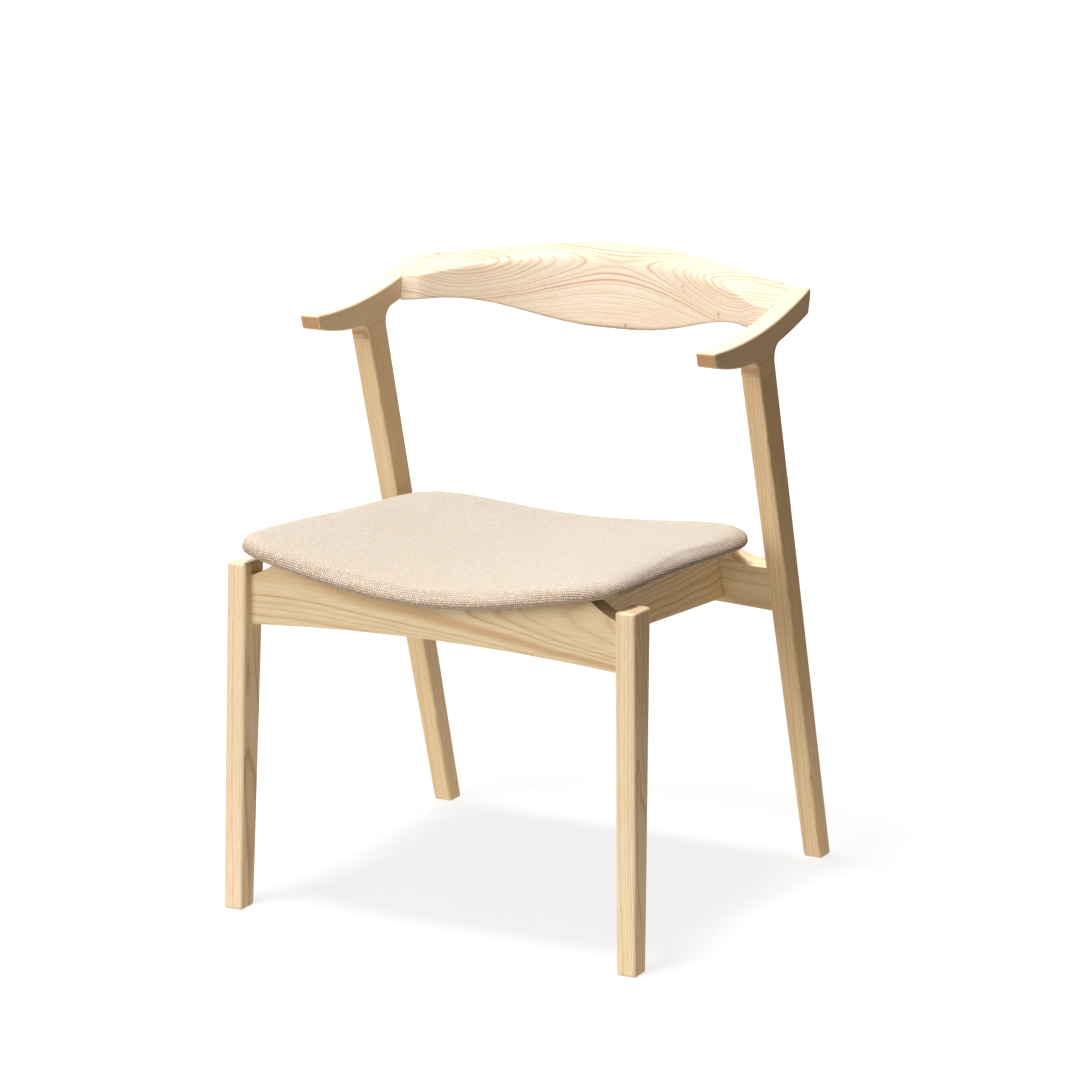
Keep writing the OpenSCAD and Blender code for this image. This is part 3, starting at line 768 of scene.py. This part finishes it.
def woven(name):
    """Beige upholstery cloth in a plain weave with thick, slightly uneven yarn."""
    t = Tree(name)
    flat = t.flat_cloth()
    place = t.shaken(flat, flat, scale=55.0, detail=2.0, reach=0.0016)
    place = t.shaken(place, flat, scale=330.0, detail=1.0, reach=0.0017)
    place = t.stretch(place, (1000 / WEAVE_PITCH, 1000 / WEAVE_PITCH, 0))
    warp, weft = (t.math("SINE", t.times(t.part(place, axis), math.pi * 2)) for axis in "xy")
    over = t.span(t.times(warp, weft), -0.2, 0.2)
    under = t.math("SUBTRACT", 1.0, over)
    across, along = t.absolute(warp), t.absolute(weft)
    one = t.times(over, t.times(t.power(across, 0.35), t.power(along, 0.55)))
    other = t.times(under, t.times(t.power(along, 0.35), t.power(across, 0.55)))
    # Painted shade: where the cloth turns to face sideways round the pad's edge, more of it takes
    # the pits' dark colour and more of its yarns the dull colour
    upward_for_edge_shade = t.absolute(t.part(t.normal(), "z"))
    yarn = t.power(t.plus(one, other), t.add("MapRange", upward_for_edge_shade, 0.25, 0.985, 1.9, 0.8))
    fuzz = t.noise(flat, scale=2600.0, roughness=0.7)
    # Thick and thin places run along single yarns, in both directions
    slub_u = t.noise(t.stretch(flat, (12, 620, 0)), detail=1.0)
    slub_v = t.noise(t.stretch(flat, (620, 12, 0)), detail=1.0)
    slub = t.plus(t.times(over, slub_v), t.times(under, slub_u))
    crossing = t.vector("FLOOR", t.stretch(place, (2, 2, 0)))
    knot = t.add("TexWhiteNoise", named={"Vector": crossing}, noise_dimensions="3D")
    # A few yarn crossings are duller at random; the many more at the pad's edge are painted shade
    dull_and_edge_shade = t.times(knot, t.add("MapRange", upward_for_edge_shade, 0.3, 0.985, 0.9, 0.32))
    # Painted shade: the pits between the yarns take a dark brown colour
    colour = t.mix(yarn, FABRIC_PIT_SHADE, t.mix(dull_and_edge_shade, FABRIC_YARN, FABRIC_DULL_AND_EDGE_SHADE))
    colour = t.shaded(colour, slub, [(0.3, (0.93, 0.91, 0.89)), (0.6, (1.03, 1.03, 1.03))])
    colour = t.shaded(colour, fuzz, [(0.25, (0.92, 0.91, 0.9)), (0.75, (1.04, 1.03, 1.02))])
    patch = t.noise(flat, scale=9.0)
    colour = t.shaded(colour, patch, [(0.3, (0.985, 0.98, 0.97)), (0.7, WHITE)])
    height = t.plus(yarn, t.times(t.plus(fuzz, t.plus(slub, knot)), 0.3))
    return t.surface(
        base_color=colour, roughness=0.92, sheen_weight=0.2, sheen_roughness=0.5,
        normal=t.bump(height, strength=0.8, distance=1.0 * MM),
    )


def non_woven(name):
    """Thin dark non-woven cloth with its embossed dots."""
    t = Tree(name)
    flat = t.flat_cloth()
    dots = t.add("TexVoronoi", named={"Vector": flat, "Scale": 620.0, "Randomness": 0.15})
    pit = t.span(dots, 0.12, 0.3)
    fleece = t.noise(flat, scale=1500.0, detail=3.0, roughness=0.7)
    colour = t.mix(pit, FLEECE_PIT, t.mix(fleece, FLEECE_DARK, FLEECE_LIGHT))
    height = t.plus(pit, t.times(fleece, 0.5))
    return t.surface(
        base_color=colour, roughness=0.95, normal=t.bump(height, strength=0.5, distance=0.2 * MM)
    )


def cloth_piece(name, points, faces, flat, material, thick, offset):
    mesh = mesh_of(name, list(to_metres(points)), faces, smooth=True)
    layer = mesh.uv_layers.new(name="cloth")
    layer.data.foreach_set("uv", (flat[[loop.vertex_index for loop in mesh.loops]] * MM).ravel())
    mesh.materials.append(material)
    piece = link(mesh, name)
    solid = piece.modifiers.new("Thickness", "SOLIDIFY")
    solid.thickness = thick * MM
    solid.offset = offset
    return piece


points, faces, flat, hem = cover_surface()
points = points + swell(points, faces, hem)
pad = cloth_piece("seat_cover_fabric", points, faces, flat, woven("beige_weave"), CLOTH, -1)
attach(pad, "root")
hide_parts("seat_cover")

points, faces = foam_inside(points)
foam_pad = link(mesh_of("foam_pad", list(to_metres(points)), faces, smooth=True), "foam_pad")
finish_piece(foam_pad, "seat_foam", foam("open_cell_foam"))


def dust_surface():
    """The dust cover, stretched under the board with faint ripples: its points, faces, places in
    the flat cloth, and the indices of its rim's points."""
    share, angle, rim = square_grid(DUST_GRID)
    flat = filled(share, angle, DUST_INSET)
    x, y = flat.T
    ripple = DUST_RIPPLE * np.sin(x * 0.11 + 1.5 * np.sin(y * 0.05)) * np.sin(y * 0.07)
    ripple *= 1 - share**6
    return over_underside(flat, ripple - DUST_GAP), grid_faces(DUST_GRID), flat, rim


points, faces, flat, rim = dust_surface()
dust = cloth_piece("dust_cloth_sheet", points, faces, flat, non_woven("dark_non_woven"), 0.3, 0)
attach(dust, "root")
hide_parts("seat_dust_cover")
x, y = flat[rim].T

# --- hidden and small CAD pieces -------------------------------------------------------------

# Two veneers of the seat board
VENEER_PAIR = 2.8


def repaint(node, material):
    mesh = cad[node].data
    mesh.materials.clear()
    mesh.materials.append(material)


def metal(name, colour, roughness):
    t = Tree(name)
    place = t.object_place()
    grit = t.noise(place, scale=900.0, detail=3.0, roughness=0.6)
    cloud = t.span(t.noise(place, scale=140.0), 0.3, 0.7)
    return t.surface(
        base_color=t.mix(cloud, colour, scaled(colour, METAL_CLOUD_TINT)), metallic=1.0,
        roughness=t.plus(t.times(grit, 0.2), roughness),
        normal=t.bump(grit, strength=0.3, distance=0.03 * MM),
    )


def plywood(name):
    """Veneers glued one over another, in the board's thickness."""
    t = Tree(name)
    place = t.object_place()
    grain = t.noise(t.stretch(place, (40, 900, 900)), detail=3.0, roughness=0.6)
    layer = t.math("FRACT", t.times(t.part(place, "z"), 1000 / VENEER_PAIR))
    colour = t.mix(t.span(layer, 0.45, 0.55), PLY_ALONG, PLY_ACROSS)
    colour = t.shaded(colour, grain, [(0.3, (0.88, 0.85, 0.8)), (0.7, WHITE)])
    return t.surface(
        base_color=colour, roughness=0.7, normal=t.bump(grain, strength=0.3, distance=0.1 * MM)
    )


beech = wood(
    "beech_dowels", origin=(0, 60, 300), along=(1, 0.15, 0.2), ring=1.6, tint=(0.92, 0.8, 0.68),
    contrast=0.7,
)
for node in cad:
    if node.endswith(("dowels_left", "dowels_right")):
        repaint(node, beech)
repaint("seat_board", plywood("moulded_plywood"))
steel = metal("zinc_steel", ZINC, roughness=0.28)
repaint("seat_bolts", steel)
repaint("cover_staples", steel)
repaint("seat_inserts", metal("yellow_zinc", YELLOW_ZINC, roughness=0.3))

# --- stage: everything here is in metres -----------------------------------------------------

camera = bpy.data.objects.new("camera", bpy.data.cameras.new("camera"))
camera.location = (2.1781, -4.0727, 1.4813)
camera.rotation_euler = Euler((math.radians(76.86), 0, math.radians(28.0)))
camera.data.lens = 140.23
camera.data.sensor_width = 36
scene.collection.objects.link(camera)
scene.camera = camera
scene.view_settings.view_transform = "Standard"

BLACK = (0, 0, 0, 1)
FLOOR_GREY = (0.24, 0.24, 0.24, 1)
FLOOR_GLOW = (0.15, 0.115, 0.08, 1)
ROOM_GLOW = (0.19, 0.137, 0.094, 1)
BOUNCE = (1.0, 0.9, 0.76, 1)
FLOOR_NEAR = 0.79
FLOOR_REACH = 60
FLOOR_Z = -0.0002
BOUNCE_R = 0.95
BOUNCE_Z = -0.0004
WALL_R = 9
WALL_H = 7
WALL_DIM, WALL_BRIGHT = 0.15, 3.4
# Towards the part of the wall that is bright, behind the chair and to its left
BRIGHT_SIDE = (-0.75, 0.66, 0.0)
CIRCLE_SIDES = 48


def backdrop(name, points, faces, material, unseen_by):
    """A mesh that some kinds of light ray pass by."""
    mesh = mesh_of(name, points, faces)
    mesh.materials.append(material)
    piece = link(mesh, name)
    for ray in unseen_by:
        setattr(piece, "visible_" + ray, False)
    return piece


def circle(radius, z):
    angles = np.linspace(0, 2 * math.pi, CIRCLE_SIDES + 1)[:-1]
    return [(radius * math.cos(a), radius * math.sin(a), z) for a in angles]


# White as far as the camera sees, and a little less near the chair, for its soft shadow
t = Tree("white_floor")
away = t.length(t.object_place())
t.surface(
    base_color=FLOOR_GREY, roughness=0.9, specular_ior_level=0.0, emission_color=(*WHITE, 1),
    emission_strength=t.span(away, 0.6, 3.0, FLOOR_NEAR, 1.0),
)
corners = ((-1, -1), (1, -1), (1, 1), (-1, 1))
floor = backdrop(
    "floor", [(x * FLOOR_REACH, y * FLOOR_REACH, FLOOR_Z) for x, y in corners], [(0, 1, 2, 3)],
    t.material, ("diffuse", "glossy", "shadow"),
)

# The part of the white floor whose light reaches the chair from below
t = Tree("floor_bounce")
t.surface(base_color=BLACK, emission_color=BOUNCE, emission_strength=0.7)
bounce = backdrop(
    "floor_bounce", circle(BOUNCE_R, BOUNCE_Z), [tuple(range(CIRCLE_SIDES))], t.material,
    ("camera", "shadow"),
)

# A pale wall all round that only shows in the lacquer's reflections
t = Tree("white_wall")
behind = t.dot(t.object_place(), BRIGHT_SIDE)
t.surface(
    base_color=BLACK, emission_color=(*WHITE, 1),
    emission_strength=t.span(behind, 2.0, 8.0, WALL_DIM, WALL_BRIGHT),
)
wall_faces = []
for i in range(CIRCLE_SIDES):
    j = (i + 1) % CIRCLE_SIDES
    wall_faces.append((i, j, CIRCLE_SIDES + j, CIRCLE_SIDES + i))
wall = backdrop(
    "wall", circle(WALL_R, 0) + circle(WALL_R, WALL_H), wall_faces, t.material,
    ("camera", "diffuse", "shadow"),
)

world = bpy.data.worlds.new("studio")
scene.world = world
world.use_nodes = True
sky = world.node_tree


def sky_node(kind, *values):
    node = sky.nodes.new("ShaderNode" + kind)
    for socket, value in zip(node.inputs, values):
        if isinstance(value, bpy.types.NodeSocket):
            sky.links.new(value, socket)
        else:
            socket.default_value = value
    return node.outputs


# A dim warm glow fills the shadows, a little dimmer from below
height = sky_node("SeparateXYZ", sky_node("TexCoord")["Generated"])[2]
upper = sky_node("MapRange", height, -0.2, 0.0, 0.0, 1.0)[0]
shade = sky_node("MixRGB", upper, FLOOR_GLOW, ROOM_GLOW)[0]
sky.links.new(shade, sky.nodes["Background"].inputs["Color"])


def softbox(name, place, aim, size, power):
    light = bpy.data.lights.new(name, "AREA")
    light.shape = "RECTANGLE"
    light.size, light.size_y = size
    light.energy = power
    lamp = bpy.data.objects.new(name, light)
    lamp.location = place
    lamp.rotation_euler = (Vector(aim) - Vector(place)).to_track_quat("-Z", "Y").to_euler()
    scene.collection.objects.link(lamp)


softbox("overhead", (-0.2, -0.8, 4.2), (0, 0, 0.4), (0.85, 0.85), 182)
softbox("front", (-1.0, -3.3, 1.5), (0, 0, 0.45), (2.7, 2.0), 81)
softbox("rear", (-1.4, 3.4, 0.7), (0, 0, 0.45), (2.4, 1.2), 27)
